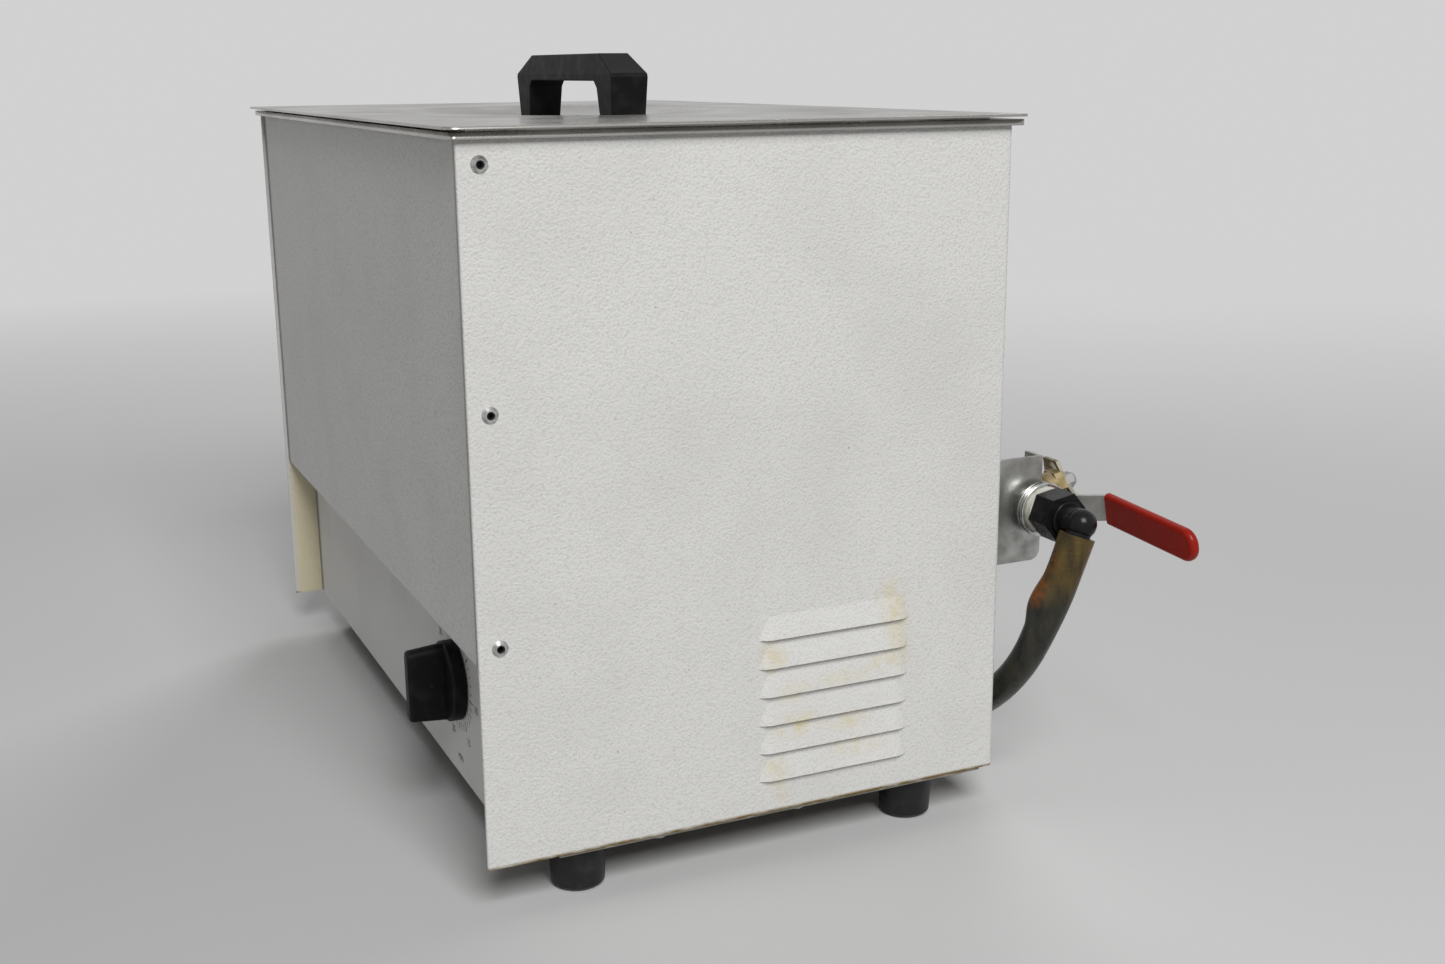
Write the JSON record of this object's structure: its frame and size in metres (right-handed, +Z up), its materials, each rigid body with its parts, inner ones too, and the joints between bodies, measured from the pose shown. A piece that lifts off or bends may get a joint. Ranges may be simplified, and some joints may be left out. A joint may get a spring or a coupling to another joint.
{
  "type": "ultrasonic cleaning bath",
  "caption": "Bench-top heated ultrasonic cleaning bath with a lift-off dished lid, step-back control panel with a timer knob, side louvres and a rear drain valve with a hose.",
  "frame": {"origin": "point of the bench midway across the width and the depth of the case", "axes": "+Z up from the bench, -Y the front with the control panel, +X the right-hand side"},
  "size_m": [0.6287, 0.4421, 0.4685],
  "materials": {
    "white_powder_coat": "satin powder coat with orange peel, warm white",
    "stainless": "fine brushed stainless",
    "dull_zinc": "dull zinc plate with smears",
    "plain_steel": "bright zinc plate",
    "bright_plate": "polished plate",
    "plain_brass": "turned brass",
    "bare_aluminium": "machined aluminium",
    "ceramic": "matt fired ceramic",
    "black_plastic": "matt moulded black",
    "black_rubber": "matt rubber",
    "red_vinyl": "dipped vinyl, dark red",
    "white_seal": "matt white seal",
    "smoky_vinyl": "aged smoky vinyl",
    "board_green": "green board with a satin mask",
    "wire_black": "insulated wire",
    "heater_red": "silicone mat"
  },
  "bodies": {
    "base": {"case_wrap": "white_powder_coat", "front_panel": "white_powder_coat", "tank": "stainless", "bottom_pan": "dull_zinc", "valve_bracket": "dull_zinc", "pan_screws": "plain_steel", "foot_screws": "plain_steel", "foot_nuts": "plain_steel", "timer_nut": "plain_steel", "tail_masses": "plain_steel", "stack_bolts": "plain_steel", "thermostat": "plain_steel", "board_screws": "plain_steel", "inlet_screws": "plain_steel", "bracket_screws": "plain_steel", "valve_end": "bright_plate", "drain_spud": "plain_brass", "drain_nut": "plain_brass", "inner_elbow": "plain_brass", "outer_elbow": "plain_brass", "wall_nipple": "plain_brass", "valve_nipple": "plain_brass", "valve_body": "plain_brass", "packing_nut": "plain_brass", "board_standoffs": "plain_brass", "inlet_pins": "plain_brass", "panel_rivets": "bare_aluminium", "transducer_heads": "bare_aluminium", "heat_sink": "bare_aluminium", "filter_capacitors": "bare_aluminium", "piezo_rings": "ceramic", "timer_body": "black_plastic", "power_transistors": "black_plastic", "output_transformer": "black_plastic", "terminal_block": "black_plastic", "power_inlet": "black_plastic", "hose_elbow": "black_plastic", "foot_front_left": "black_rubber", "foot_front_right": "black_rubber", "foot_rear_left": "black_rubber", "foot_rear_right": "black_rubber", "drain_gasket": "black_rubber", "ball_seats": "white_seal", "sealing_washer": "white_seal", "drain_hose": "smoky_vinyl", "generator_board": "board_green", "harness_leads": "wire_black", "heater_pad_front": "heater_red", "heater_pad_rear": "heater_red"},
    "lid": {"lid": "stainless", "lid_handle": "black_plastic", "handle_screws": "plain_steel"},
    "knob": {"timer_knob": "black_plastic", "knob_set_screw": "plain_steel", "timer_shaft": "plain_steel"},
    "lever": {"valve_lever": "dull_zinc", "lever_grip": "red_vinyl", "stem_nut": "plain_steel", "valve_stem": "plain_steel", "valve_ball": "bright_plate"}
  },
  "joints": [
    {"name": "lid_lift", "type": "slide", "parent": "base", "child": "lid", "axis": [0, 0, 1], "range_m": [0, 0.3]},
    {"name": "timer_turn", "type": "hinge", "parent": "base", "child": "knob", "pos_m": [0.15, -0.143, 0.095], "axis": [0, 1, 0], "range_deg": [0, 300]},
    {"name": "drain_lever", "type": "hinge", "parent": "base", "child": "lever", "pos_m": [0.228, 0.2105, 0.187], "axis": [0, -0.9833, -0.1822], "range_deg": [0, 90]}
  ]
}
